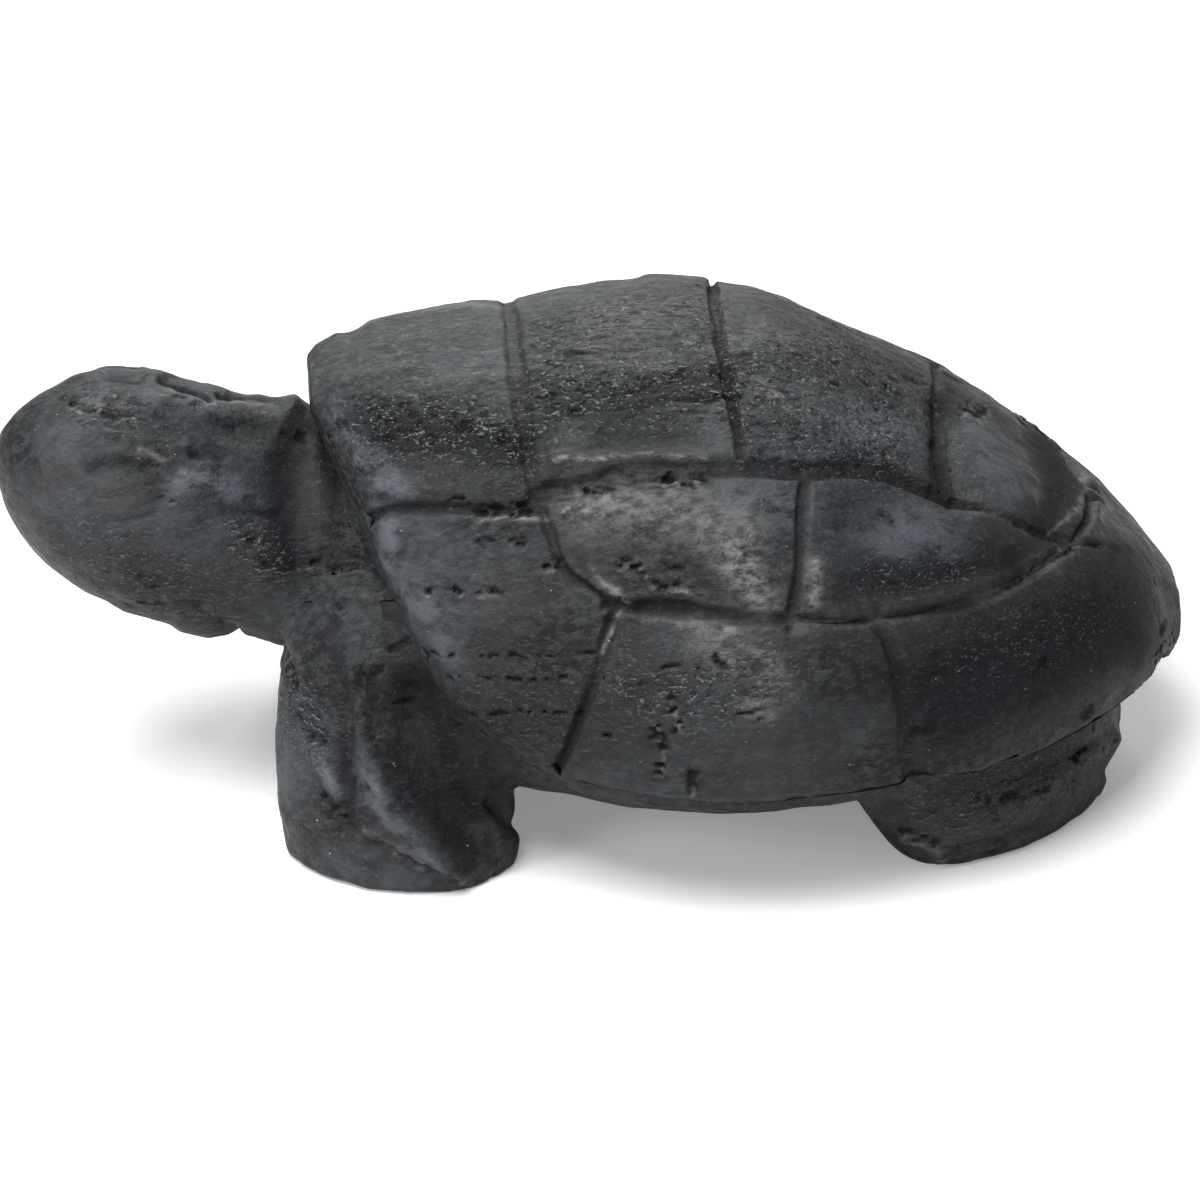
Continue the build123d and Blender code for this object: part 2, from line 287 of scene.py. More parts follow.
# Where the stone is marked, in the same pixels: strength, half width and line
SHELL_PATCHES = {
    # painted blue reflections of the light on smooth facets
    "reflection_paint": (
        (1.0, 13, ((336, 418), (358, 448), (378, 480))),
        (0.9, 12, ((366, 456), (402, 488))),
        (0.9, 16, ((384, 515), (388, 560))),
        (0.7, 18, ((408, 588), (430, 615), (452, 650))),
        (0.2, 40, ((440, 570), (480, 590))),
        (0.6, 16, ((976, 430), (990, 468), (1008, 494))),
        (0.95, 34, ((895, 535), (940, 545))),
        (0.6, 34, ((780, 420), (880, 440))),
        (0.5, 22, ((705, 400), (712, 440))),
        (0.7, 26, ((740, 500), (790, 505))),
        (0.4, 20, ((440, 370), (500, 345))),
        (0.5, 24, ((860, 425), (920, 440))),
    ),
    # pale scratches and crust, and painted highlights on lit faces, ledges, ridges and rims
    "pale": (
        (0.6, 32, ((590, 505), (680, 505), (735, 540))),
        (1.0, 18, ((738, 565), (764, 598))),
        (0.8, 8, ((816, 560), (817, 598))),
        (0.55, 22, ((705, 640), (760, 660), (770, 690))),
        (0.9, 2.6, ((588, 566), (600, 582), (627, 604))),
        (0.7, 2.5, ((617, 615), (609, 633), (600, 655))),
        (1.0, 2.2, ((556, 461), (600, 458), (640, 454), (706, 457))),
        (0.7, 5, ((743, 373), (758, 386), (775, 397))),
        (0.8, 2.5, ((479, 522), (500, 515), (545, 518))),
        (0.8, 2.5, ((558, 512), (575, 508), (584, 511))),
        (0.35, 22, ((590, 318), (710, 300))),
        (0.3, 16, ((760, 330), (830, 345))),
        (0.5, 3, ((345, 330), (400, 312), (500, 305))),
        (0.28, 8, (
            (800, 627), (880, 620), (940, 608), (1000, 588), (1050, 566), (1080, 540))),
        (0.7, 2.5, ((1062, 448), (1085, 467), (1089, 487), (1070, 521), (1054, 531))),
        (0.6, 2.5, ((984, 505), (1010, 518), (1033, 531))),
        (0.6, 3, ((642, 622), (734, 630))),
        (0.5, 9, ((742, 705), (765, 716))),
    ),
    "shade": (
        (0.75, 30, ((370, 430), (450, 435), (515, 450))),
        (0.7, 22, ((550, 410), (640, 400), (720, 372))),
        (0.6, 20, ((600, 438), (690, 432))),
        (0.5, 22, ((770, 420), (850, 445), (920, 470))),
        (1.0, 26, ((1045, 435), (1066, 480), (1050, 520))),
        (0.6, 14, ((940, 360), (955, 410))),
        (0.9, 26, ((850, 580), (930, 575), (1010, 555))),
        (0.6, 24, ((850, 500), (880, 495))),
        (0.8, 46, ((940, 665), (1040, 625), (1110, 570))),
        (0.5, 26, ((480, 640), (560, 640))),
        (0.8, 46, ((930, 730), (1040, 690), (1130, 640))),
        (0.5, 40, ((820, 720), (870, 680))),
        (0.5, 34, ((520, 720), (640, 760))),
        (0.6, 12, ((400, 505), (480, 502), (550, 492))),
        (0.9, 13, ((560, 478), (640, 475), (705, 478))),
        (1.0, 13, ((934, 400), (948, 500))),
        (0.7, 16, ((690, 560), (720, 580))),
        (0.4, 30, ((420, 690), (480, 720))),
    ),
    "rough": (
        (0.9, 34, ((380, 425), (470, 420), (510, 440))),
        (0.8, 26, ((550, 330), (640, 310), (700, 310))),
        (0.3, 30, ((400, 350), (470, 335))),
        (1.0, 34, ((560, 390), (640, 390), (715, 380))),
        (0.8, 36, ((770, 360), (840, 355), (900, 400))),
        (0.6, 30, ((760, 420), (880, 450))),
        (0.6, 30, ((640, 690), (700, 690), (760, 680))),
        (0.12, 40, ((460, 690), (560, 700))),
        (0.4, 18, ((880, 575), (960, 570))),
        (0.15, 30, ((980, 650), (1080, 620))),
    ),
}
HEAD_AND_LEG_PATCHES = {
    # painted blue reflections of the light on smooth facets of the head and legs
    "reflection_paint": (
        (0.5, 24, ((60, 430), (110, 392), (200, 408))),
        (0.2, 20, ((205, 470), (240, 480))),
        (0.75, 14, ((182, 484), (206, 478), (238, 494))),
        (0.4, 20, ((288, 700), (296, 780))),
        (0.6, 8, ((316, 756), (328, 776), (338, 796))),
        (0.9, 10, ((366, 768), (384, 810), (404, 836), (436, 858))),
        (0.35, 22, ((340, 868), (420, 878))),
        (0.2, 30, ((940, 815), (1060, 790))),
        (0.3, 40, ((80, 500), (200, 540))),
    ),
    # pale scratches and chips, and painted highlights along the front leg's crests
    "pale": (
        (0.8, 3, ((142, 448), (155, 453), (168, 460))),
        (0.6, 8, ((90, 404), (124, 408))),
        (0.5, 4, ((186, 470), (206, 476))),
        (0.6, 3, ((166, 386), (190, 396), (214, 404))),
        (0.6, 3, ((226, 402), (266, 410))),
        (0.4, 3, ((80, 580), (157, 613))),
        (0.5, 4, ((318, 756), (328, 772), (337, 792))),
        (0.7, 2.5, ((363, 827), (372, 832))),
        (0.4, 2.5, ((380, 838), (420, 860))),
        (0.8, 3, ((450, 876), (460, 880))),
        (0.7, 3, ((903, 838), (925, 842), (942, 852))),
        (0.8, 3, ((209, 606), (212, 608))),
    ),
    "shade": (
        (1.0, 34, ((420, 700), (455, 760), (480, 815))),
        (0.9, 12, ((392, 752), (414, 796), (440, 832), (474, 856))),
        (0.8, 10, ((346, 740), (350, 790), (348, 826))),
        (1.0, 26, ((288, 440), (284, 500), (288, 560))),
        (0.6, 24, ((330, 640), (345, 700))),
        (0.6, 8, ((90, 470), (118, 466), (146, 470))),
        (0.4, 4, ((112, 516), (130, 520), (154, 516))),
        (0.7, 6, ((197, 453), (224, 456))),
        (0.7, 5, ((222, 512), (281, 512))),
        (0.5, 20, ((886, 815), (905, 848))),
        (0.35, 20, ((960, 790), (1080, 745))),
        (0.5, 14, ((150, 425), (250, 432))),
        (0.8, 5, ((106, 379), (136, 378))),
        (0.9, 3.5, ((160, 375), (186, 384), (212, 398))),
        (0.9, 3.5, ((220, 395), (245, 399), (270, 406))),
        (0.5, 10, ((70, 592), (112, 614), (152, 626))),
    ),
    "dust": (
        (0.6, 18, ((312, 470), (322, 520), (338, 560))),
        (0.8, 22, ((392, 690), (418, 745))),
        (0.6, 16, ((190, 612), (232, 612))),
        (0.5, 16, ((110, 492), (150, 496))),
        (0.4, 26, ((160, 580), (240, 575))),
        (0.8, 5, ((347, 818), (353, 832))),
        (0.5, 40, ((930, 800), (1060, 760))),
    ),
    "rough": (
        (0.6, 36, ((940, 800), (1060, 770))),
        (0.7, 18, ((85, 408), (128, 412))),
        (0.7, 20, ((240, 535), (270, 560))),
        (0.4, 40, ((80, 560), (200, 600))),
        (0.6, 26, ((290, 690), (310, 740))),
    ),
}


def smoothstep(low, high, values):
    """0 below low, 1 above high, and a soft rise between them."""
    share = np.clip((values - low) / (high - low), 0, 1)
    return share * share * (3 - 2 * share)


# Large numbers that scatter the cells of the noise
CELL_FACTORS = (73856093, 19349663, 83492791)
SEED_FACTOR = 265443576


def hashed(cells, seed):
    """A number from -1 to 1 for each whole-number cell, the same in every run."""
    mixed = seed * SEED_FACTOR
    for axis, factor in enumerate(CELL_FACTORS):
        mixed = mixed ^ cells[:, axis] * factor
    mixed = (mixed ^ (mixed >> 13)) * 1274126177
    mixed = mixed ^ (mixed >> 16)
    return (mixed & 0xFFFF) / 32767.5 - 1


def stretched(points, share):
    """Points drawn together along the body, so that noise at them runs along it."""
    return points * np.array((share, 1, 1))


def lumps(points, size, seed):
    """Smooth noise from -1 to 1 whose lumps have the given size."""
    grid = points / size + seed * 7.31
    cell = np.floor(grid).astype(np.int64)
    inside = grid - cell
    blend = inside ** 3 * (inside * (inside * 6 - 15) + 10)
    total = np.zeros(len(points))
    for corner in range(8):
        offset = np.array([(corner >> axis) & 1 for axis in range(3)])
        weight = np.prod(np.where(offset, blend, 1 - blend), axis=1)
        total += weight * hashed(cell + offset, seed)
    return total


class Stone:
    """A closed surface of four-sided faces, as arrays in metres."""

    def __init__(self, mesh):
        count = len(mesh.vertices)
        flat = np.empty(count * 3)
        mesh.vertices.foreach_get("co", flat)
        self.points = flat.reshape(-1, 3)
        corners = np.empty(len(mesh.loops), dtype=np.int64)
        mesh.loops.foreach_get("vertex_index", corners)
        self.faces = corners.reshape(-1, 4)
        edges = np.empty(len(mesh.edges) * 2, dtype=np.int64)
        mesh.edges.foreach_get("vertices", edges)
        self.edges = edges.reshape(-1, 2)
        self.marks = {}

    def gather(self, ends, values):
        return np.bincount(ends, weights=values, minlength=len(self.points))

    def average(self, values):
        """The mean of a value over the neighbours of each point."""
        first, second = self.edges.T
        total = self.gather(first, values[second]) + self.gather(second, values[first])
        return total / self.degree()

    def degree(self):
        return np.maximum(1, np.bincount(self.edges.ravel(), minlength=len(self.points)))

    def normals(self):
        a, b, c, d = (self.points[self.faces[:, corner]] for corner in range(4))
        across = np.cross(c - a, d - b)
        total = np.zeros_like(self.points)
        for corner in range(4):
            for axis in range(3):
                total[:, axis] += self.gather(self.faces[:, corner], across[:, axis])
        return total / np.maximum(1e-20, np.linalg.norm(total, axis=1))[:, None]

    def relax(self, rounds, share):
        """Moves each point towards its neighbours."""
        for _ in range(rounds):
            mean = np.stack([self.average(self.points[:, axis]) for axis in range(3)], axis=1)
            self.points = self.points + (mean - self.points) * share

    def push(self, amount):
        """Moves each point out along its normal."""
        self.points = self.points + self.normals() * amount[:, None]


def placed(name, data):
    """A new object in the scene."""
    made = bpy.data.objects.new(name, data)
    bpy.context.scene.collection.objects.link(made)
    return made


def remeshed(mesh, voxel):
    """The same closed form with even faces."""
    work = placed("work", mesh)
    even = work.modifiers.new("even", "REMESH")
    even.mode = "VOXEL"
    even.voxel_size = voxel
    shape = work.evaluated_get(bpy.context.evaluated_depsgraph_get())
    done = bpy.data.meshes.new_from_object(shape)
    bpy.data.objects.remove(work)
    return Stone(done)


def rim_at(x):
    """Height of the shell's lower edge: level, then a bend into the slanting front."""
    corner = NUCHAL - (NUCHAL_HEIGHT - RIM_HEIGHT) / math.tan(FRONT_SLOPE)
    run = FRONT_BEND * math.tan(FRONT_SLOPE / 2)
    bend_start = corner - run
    if x <= bend_start:
        return RIM_HEIGHT
    if x < corner + run * math.cos(FRONT_SLOPE):
        return RIM_HEIGHT + FRONT_BEND - math.sqrt(FRONT_BEND ** 2 - (x - bend_start) ** 2)
    return RIM_HEIGHT + (x - corner) * math.tan(FRONT_SLOPE)


def eased(rows, places):
    """Values of a table at any places, along smooth curves through its rows."""
    at = rows[:, 0]
    result = []
    for column in range(1, rows.shape[1]):
        values = rows[:, column]
        slopes = np.gradient(values, at)
        index = np.clip(np.searchsorted(at, places) - 1, 0, len(at) - 2)
        span = at[index + 1] - at[index]
        t = (places - at[index]) / span
        result.append(
            values[index] * (2 * t ** 3 - 3 * t ** 2 + 1)
            + slopes[index] * span * (t ** 3 - 2 * t ** 2 + t)
            + values[index + 1] * (3 * t ** 2 - 2 * t ** 3)
            + slopes[index + 1] * span * (t ** 3 - t ** 2)
        )
    return result


def dome_at(along):
    """Half width and rise of the dome, in metres, at shares of its length."""
    across, up = eased(DOME_SHARES, np.asarray(along, dtype=float))
    return across * HALF_WIDTH, up * SHELL_RISE


def station_at(along):
    """Place, half width and rise at a share of the shell's length, and how far up its rim lies."""
    x = NUCHAL - along * SHELL_LENGTH
    half_width, rise = (float(value) for value in dome_at(along))
    return x, half_width, rise, max(0.0, (rim_at(x) - RIM_HEIGHT) / rise)


def shell_mesh():
    """The shell as rings of points, closed at both ends."""
    stations = 150
    arch_steps = 150
    floor_steps = 40
    mesh = bmesh.new()
    rings = []
    for station in range(stations + 1):
        x, half_width, rise, lift = station_at(station / stations)
        start = math.asin(min(0.98, lift) ** (ARCH_FULLNESS / 2))
        ring = []
        for step in range(arch_steps + 1):
            angle = start + (math.pi - 2 * start) * step / arch_steps
            across = math.copysign(abs(math.cos(angle)) ** (2 / ARCH_FULLNESS), math.cos(angle))
            up = math.sin(angle) ** (2 / ARCH_FULLNESS)
            ring.append((x, half_width * across, RIM_HEIGHT + rise * up))
        first, last = ring[0], ring[-1]
        for step in range(1, floor_steps):
            share = step / floor_steps
            ring.append((x, last[1] + (first[1] - last[1]) * share, last[2]))
        rings.append([mesh.verts.new(point) for point in ring])
    for before, after in zip(rings, rings[1:]):
        for index in range(len(before)):
            beside = (index + 1) % len(before)
            mesh.faces.new((before[index], before[beside], after[beside], after[index]))
    mesh.faces.new(list(reversed(rings[0])))
    mesh.faces.new(rings[-1])
    bmesh.ops.recalc_face_normals(mesh, faces=mesh.faces)
    done = bpy.data.meshes.new("shell_form")
    mesh.to_mesh(done)
    mesh.free()
    return done


def spaced(row):
    """A smooth line through the points of a row."""
    per_span = 8
    row = np.array(row)
    padded = np.vstack((2 * row[0] - row[1], row, 2 * row[-1] - row[-2]))
    points = []
    for p0, p1, p2, p3 in zip(padded, padded[1:], padded[2:], padded[3:]):
        for step in range(per_span):
            t = step / per_span
            points.append(0.5 * (2 * p1 + (p2 - p0) * t + (2 * p0 - 5 * p1 + 4 * p2 - p3) * t ** 2
                                 + (3 * p1 - p0 - 3 * p2 + p3) * t ** 3))
    points.append(row[-1])
    return np.array(points)


def around_arch(share):
    """How far out the dome's arch reaches at a share of its rise, or up at one of its width."""
    return (1 - share ** ARCH_FULLNESS) ** (1 / ARCH_FULLNESS)


def from_above(row, side=1):
    """A groove seen from above, laid on the dome."""
    along, out = spaced(row).T
    half_width, rise = dome_at(np.clip(along, 0, 1))
    up = around_arch(np.clip(np.abs(out) * HALF_WIDTH / half_width, 0, ARCH_END))
    x = NUCHAL - along * SHELL_LENGTH
    return np.stack((x, side * out * HALF_WIDTH, RIM_HEIGHT + rise * up), axis=1)


def from_side(row, side=1):
    """A groove seen from the side, laid on the dome."""
    along, out = spaced(row).T
    half_width, rise = dome_at(np.clip(along, 0, 1))
    across = around_arch(np.clip(out * SHELL_RISE / rise, 0, ARCH_END))
    x = NUCHAL - along * SHELL_LENGTH
    return np.stack((x, side * half_width * across, RIM_HEIGHT + out * SHELL_RISE), axis=1)


def groove_lines():
    """Every groove of the shell: half width, depth, dust and a line of points."""
    lines = [(*sizes, from_above(row)) for *sizes, row in RIDGE_GROOVES]
    for side in (1, -1):
        lines += [(*sizes, from_above(row, side)) for *sizes, row in CROWN_GROOVES]
        lines += [(*sizes, from_side(row, side)) for *sizes, row in FLANK_GROOVES]
    return lines


def line_distance(line, points):
    """How far each point is from a line, in space or in the picture."""
    best = np.full(len(points), np.inf)
    for start, end in zip(line, line[1:]):
        span = end - start
        share = np.clip((points - start) @ span / max(1e-12, span @ span), 0, 1)
        best = np.minimum(best, np.linalg.norm(points - start - share[:, None] * span, axis=1))
    return best


def distance_to(line, points):
    """The same in space, measured near the line and put at a metre elsewhere."""
    reach = 4 * MM
    near = np.all((points > line.min(axis=0) - reach) & (points < line.max(axis=0) + reach), axis=1)
    nearest = np.full(len(points), 1.0)
    nearest[near] = line_distance(line, points[near])
    return nearest


def left_share(points):
    """1 on the turtle's left, 0 on its right, and a soft step over the middle."""
    return smoothstep(-3 * MM, 3 * MM, points[:, 1])


def two_views(points, normals, over=1.0):
    """The picture places of the visible side and of its mirror image, with their weights.

    Where over is 1, the visible side reaches over the middle as far as the camera sees.
    """
    towards = -camera_axes()[3]
    facing = smoothstep(-0.05, 0.25, normals @ towards)
    mirrored = smoothstep(-0.05, 0.25, (normals * MIRROR) @ towards)
    left = left_share(points)
    own = left + (1 - left) * facing * over
    return [(photo_px(points), own * facing), (photo_px(points * MIRROR), (1 - own) * mirrored)]


def side_views(points):
    """The picture places of each side, without regard to what faces away."""
    left = left_share(points)
    return [(photo_px(points), left), (photo_px(points * MIRROR), 1 - left)]


def whole_view(points):
    """The same for the whole figure at once."""
    return [(photo_px(points), np.ones(len(points)))]


def wandering(points, seeds):
    """How far marks stray from where they were seen, across and down."""
    return np.stack([
        6 * lumps(points, 2.5 * MM, seed) + 3 * lumps(points, 0.7 * MM, seed + 40) for seed in seeds
    ], axis=1)


def strokes_on(views, strokes, wander, soft=1.0, lower=0.0):
    """The sum of a table's strokes at each point of a surface, moved down by some pixels."""
    total = np.zeros(len(wander))
    for (px, weight), drift in zip(views, VIEW_DRIFTS):
        moved = px + wander * drift - (0, lower)
        for amount, half_width, line in strokes:
            reach = 2.5 * half_width * soft
            low, high = np.min(line, axis=0) - reach, np.max(line, axis=0) + reach
            near = np.flatnonzero((weight > 0) & np.all((moved > low) & (moved < high), axis=1))
            gap = line_distance(np.array(line, dtype=float), moved[near])
            share = gap / (half_width * soft)
            total[near] += amount * weight[near] * np.exp(-share ** 2)
    return total


def chips_and_lips(points, views, table, wander, grain, seeds):
    """How deep each chip goes, and how strong the painted highlight on its lip is."""
    broken = smoothstep(-0.15, 0.35, lumps(stretched(points, 0.7), grain, seeds[0]))
    chipped = strokes_on(views, table, wander) * broken
    lip = strokes_on(views, table, wander, 0.6, LIP_DROP) / (0.3 * MM)
    lip = lip * smoothstep(-0.1, 0.4, lumps(points, 0.4 * MM, seeds[1]))
    return chipped, lip * (1 - np.clip(chipped / (0.15 * MM), 0, 1))


def add_patches(stone, views, patches, wander, lip):
    """Marks the stone where its colour or sheen changes, with reflections, highlights and shade
    painted on it.
    """
    for mark, table in patches.items():
        stone.marks[mark] = np.clip(strokes_on(views, table, wander), 0, 1)
    # the painted highlights on the chips' lips go into the pale marks
    stone.marks["pale"] = np.clip(stone.marks["pale"] + lip, 0, 1)


def pit_rows(views, points):
    """Small pits in rows, as the tool left them."""
    total = np.zeros(len(points))
    for px, weight in views:
        for height, start, end in PIT_ROWS:
            inside = (px[:, 0] > start) & (px[:, 0] < end)
            drift = 2.5 * lumps(points, 1.5 * MM, 32)
            near = np.exp(-((px[:, 1] - height + drift) / 2.2) ** 2)
            total += inside * near * weight
    return total * smoothstep(0.05, 0.45, lumps(stretched(points, 0.8), 0.34 * MM, 31))


def camera_axes():
    """Where the camera stands, and its directions to the right, up and ahead."""
    away = np.array((
        math.cos(CAMERA_ELEVATION) * math.sin(CAMERA_AZIMUTH),
        math.cos(CAMERA_ELEVATION) * math.cos(CAMERA_AZIMUTH),
        math.sin(CAMERA_ELEVATION),
    ))
    right = np.cross(-away, (0, 0, 1))
    right /= np.linalg.norm(right)
    return CAMERA_TARGET + away * CAMERA_DISTANCE, right, np.cross(right, -away), -away


def photo_px(points):
    """Where points fall in the photograph, in its pixels."""
    eye, right, up, ahead = camera_axes()
    from_eye = points - eye
    depth = from_eye @ ahead
    across = TARGET_PX[0] + FOCAL_PX * (from_eye @ right) / depth
    down = TARGET_PX[1] - FOCAL_PX * (from_eye @ up) / depth
    return np.stack((across, down), axis=1)


def front_edge():
    """The line of the shell's front and lower edge on the left, from the ridge to the rear."""
    points = []
    for along in np.linspace(0, 0.97, 90):
        x, half_width, rise, lift = station_at(along)
        across = around_arch(min(0.99, lift))
        points.append((x, half_width * across, RIM_HEIGHT + lift * rise))
    return np.array(points)


def carved_shell():
    """The shell with its grooves, pits and worn edges."""
    stone = remeshed(shell_mesh(), SHELL_VOXEL)
    stone.relax(3, 0.5)
    base = stone.points.copy()
    views = two_views(base, stone.normals())
    wander = wandering(base, (14, 15))

    # grooves that waver, widen and deepen, with the stone rounded down towards them and painted
    # shade in them, darker where they go deeper
    wobble = np.stack([lumps(base, 3.5 * MM, seed) for seed in (1, 2, 3)], axis=1) * 0.22 * MM
    groove = np.full(len(base), 1.0)
    painted_groove_shade = np.zeros(len(base))
    deep_cut = np.zeros(len(base))
    dust = np.zeros(len(base))
    spread = 1 + 0.3 * lumps(base, 4 * MM, 4) + 0.15 * lumps(base, 1.0 * MM, 41)
    uneven = 1 + 0.35 * lumps(base, 5 * MM, 5) + 0.2 * lumps(base, 1.3 * MM, 51)
    for wide, deep, dusty, line in groove_lines():
        gap = distance_to(line, base + wobble)
        inside = 1 - smoothstep(0.5, 1.15, gap / (wide * MM * spread))
        groove = np.minimum(groove, gap)
        painted_groove_shade = np.maximum(painted_groove_shade, inside * min(1.0, deep / FULL_GROOVE))
        deep_cut = np.maximum(deep_cut, inside * deep * MM * uneven)
        dust = np.maximum(dust, inside * dusty)
    pillow = np.exp(-(groove / (2.4 * MM)) ** 2)

    # the rim's worn edge, wider at the front, and its chips
    edge = front_edge()
    edge_gap = np.minimum(distance_to(edge, base), distance_to(edge * MIRROR, base))
    front = smoothstep(4 * MM, 9 * MM, base[:, 0])
    bevel = np.clip(1 - edge_gap / ((0.8 + 1.1 * front) * MM), 0, 1)
    at_edge = np.clip(1 - edge_gap / (1.2 * MM), 0, 1)
    chips = smoothstep(0.15, 0.6, lumps(base, 1.5 * MM, 16)) * at_edge

    dents = 0.20 * MM * lumps(base, 8 * MM, 6) + 0.07 * MM * lumps(base, 2.6 * MM, 7)
    strokes = 0.05 * MM * lumps(stretched(base, 0.25), 0.9 * MM, 8)
    worn_edge = 0.18 * MM * pillow + (0.4 + 0.45 * front) * MM * bevel + 0.35 * MM * chips
    stone.push(dents + strokes - deep_cut - worn_edge)
    outline = strokes_on(whole_view(base), SHELL_OUTLINE, 0.4 * wander)
    stone.push(strokes_on(views, SHELL_STROKES, wander) + outline)

    # grain, pits, scars and chips
    chipped, lip = chips_and_lips(base, views, SHELL_CHIPS, wander, 0.30 * MM, (18, 19))
    add_patches(stone, views, SHELL_PATCHES, wander, lip)
    rough = stone.marks["rough"]
    grain = (0.012 + 0.06 * rough) * MM * lumps(stretched(base, 0.45), 0.4 * MM, 9)
    pitted = np.clip(rough + 0.25 * lumps(base, 5 * MM, 11), 0, 1)
    pits = smoothstep(0.55, 0.8, lumps(stretched(base, 0.45), 0.5 * MM, 10)) * pitted
    scarred = smoothstep(0.1, 0.6, lumps(base, 7 * MM, 13))
    scars = smoothstep(0.62, 0.8, lumps(stretched(base, 0.4), 1.1 * MM, 12)) * scarred
    rows = pit_rows(views, base)
    holes = 0.16 * MM * pits + 0.20 * MM * scars + 0.26 * MM * rows
    stone.push(grain - holes - chipped + LIP_HEIGHT * lip)

    # painted shade in the grooves, darker where they are deeper
    stone.marks["groove"] = painted_groove_shade
    # painted shade in pits, scars, rows of pits and chips
    stone.marks["pit"] = np.clip(0.9 * pits + 0.2 * scars + rows + chipped / FULL_CHIP, 0, 1)
    stone.marks["dust"] = np.clip(dust * smoothstep(-0.5, 0.4, lumps(base, 3 * MM, 17)), 0, 1)
    # painted light: faces turned up are lighter, less so towards the rear and not in the grooves
    ahead = 0.4 + 0.6 * smoothstep(-16 * MM, -2 * MM, base[:, 0])
    stone.marks["top"] = smoothstep(0.55, 0.97, stone.normals()[:, 2]) * (1 - painted_groove_shade) * ahead
    return stone


def joined(names):
    """One mesh of several CAD nodes, for working on."""
    mesh = bmesh.new()
    for name in names:
        mesh.from_mesh(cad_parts[name].data)
    bmesh.ops.remove_doubles(mesh, verts=mesh.verts, dist=0.001 * MM)
    done = bpy.data.meshes.new("joined")
    mesh.to_mesh(done)
    mesh.free()
    return done


FLESH_NODES = (
    "body", "head_and_neck", "front_left_leg", "front_right_leg",
    "hind_left_leg", "hind_right_leg", "tail",
)


def node_distances(points):
    """How far each point is from each CAD node."""
    result = {}
    for name in ("carapace",) + FLESH_NODES:
        tree = BVHTree.FromObject(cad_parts[name], bpy.context.evaluated_depsgraph_get())
        result[name] = np.array([tree.find_nearest(Vector(point))[3] for point in points])
    return result


def carved_flesh():
    """Body, head, legs and tail as one flowing form, with a core that fills the shell."""
    stone = remeshed(joined(("carapace",) + FLESH_NODES), FLESH_VOXEL)
    stone.relax(14, 0.6)
    base = stone.points.copy()
    gaps = node_distances(base)
    flesh_gap = np.min([gaps[name] for name in FLESH_NODES], axis=0)
    body = FLESH_NODES.index("body")
    # where two nodes are equally near, the body gives way to the other
    handicap = 0.02 * MM
    stone.owner = np.argmin([
        gaps[name] + (handicap if name == "body" else 0.0) for name in FLESH_NODES
    ], axis=0)
    core = (gaps["carapace"] < flesh_gap) * smoothstep(0, 1.6 * MM, flesh_gap)
    stone.owner[core > 0.5] = body
    shown = 1 - core
    head = stone.owner == FLESH_NODES.index("head_and_neck")
    views = two_views(base, stone.normals(), over=head)
    wander = wandering(base, (34, 35))

    dents = 0.18 * MM * lumps(base, 6 * MM, 21) + 0.09 * MM * lumps(base, 2.4 * MM, 22)
    grain = 0.035 * MM * lumps(stretched(base, 0.5), 0.8 * MM, 23)
    pits = smoothstep(0.45, 0.75, lumps(stretched(base, 0.5), 0.5 * MM, 24))
    pits = pits * smoothstep(0.2, 0.8, lumps(base, 4 * MM, 25))
    chipped, lip = chips_and_lips(base, views, HEAD_AND_LEG_CHIPS, wander, 0.34 * MM, (26, 27))
    carved = strokes_on(views, HEAD_AND_LEG_STROKES, wander)
    feet = strokes_on(side_views(base), FOOT_OUTLINE, 0.4 * wander)
    carved += feet + strokes_on(whole_view(base), HEAD_OUTLINE, 0.4 * wander)
    # the core is drawn in, so that it stays hidden under the shell
    stone.push(carved * shown - 1.7 * MM * core)
    stone.push((dents + grain - 0.12 * MM * pits - chipped + LIP_HEIGHT * lip) * shown)
    stone.points[:, 2] = np.maximum(stone.points[:, 2], 0)

    stone.marks["groove"] = np.zeros(len(base))
    # painted shade in pits and chips
    stone.marks["pit"] = np.clip(0.8 * pits + chipped / FULL_CHIP, 0, 1)
    add_patches(stone, views, HEAD_AND_LEG_PATCHES, wander, lip)
    # painted light: faces turned up are lighter
    stone.marks["top"] = 0.5 * smoothstep(0.6, 0.97, stone.normals()[:, 2])
    return stone


def outer_faces(stone):
    """Which faces are on the stone's outer surface, without small closed bubbles inside it."""
    label = np.arange(len(stone.points))
    first, second = stone.edges.T
    while True:
        lowest = np.minimum(label[first], label[second])
        merged = label.copy()
        np.minimum.at(merged, first, lowest)
        np.minimum.at(merged, second, lowest)
        merged = merged[merged]
        if (merged == label).all():
            return label[stone.faces[:, 0]] == np.bincount(label).argmax()
        label = merged


def piece_from(stone, name, keep, normals):
    """One piece of a stone: the faces to keep, closed where it was parted from the rest."""
    faces = stone.faces[keep]
    used, packed = np.unique(faces, return_inverse=True)
    packed = packed.reshape(-1, 4)
    mesh = bmesh.new()
    verts = [mesh.verts.new(point) for point in stone.points[used]]
    for face in packed.tolist():
        mesh.faces.new([verts[index] for index in face])
    mesh.verts.index_update()
    border = [edge for edge in mesh.edges if edge.is_boundary]
    if border:
        bmesh.ops.holes_fill(mesh, edges=border, sides=0)
    done = bpy.data.meshes.new(name)
    mesh.to_mesh(done)
    mesh.free()
    for mark, values in stone.marks.items():
        data = done.attributes.new(mark, "FLOAT", "POINT").data
        data.foreach_set("value", values[used].astype(np.float32))
    done.polygons.foreach_set("use_smooth", [True] * len(done.polygons))
    loop_verts = np.empty(len(done.loops), dtype=np.int64)
    done.loops.foreach_get("vertex_index", loop_verts)
    split = normals[used][loop_verts]
    for polygon in done.polygons[len(packed):]:
        split[polygon.loop_start:polygon.loop_start + polygon.loop_total] = polygon.normal
    done.normals_split_custom_set(split.tolist())
    return placed(name, done)
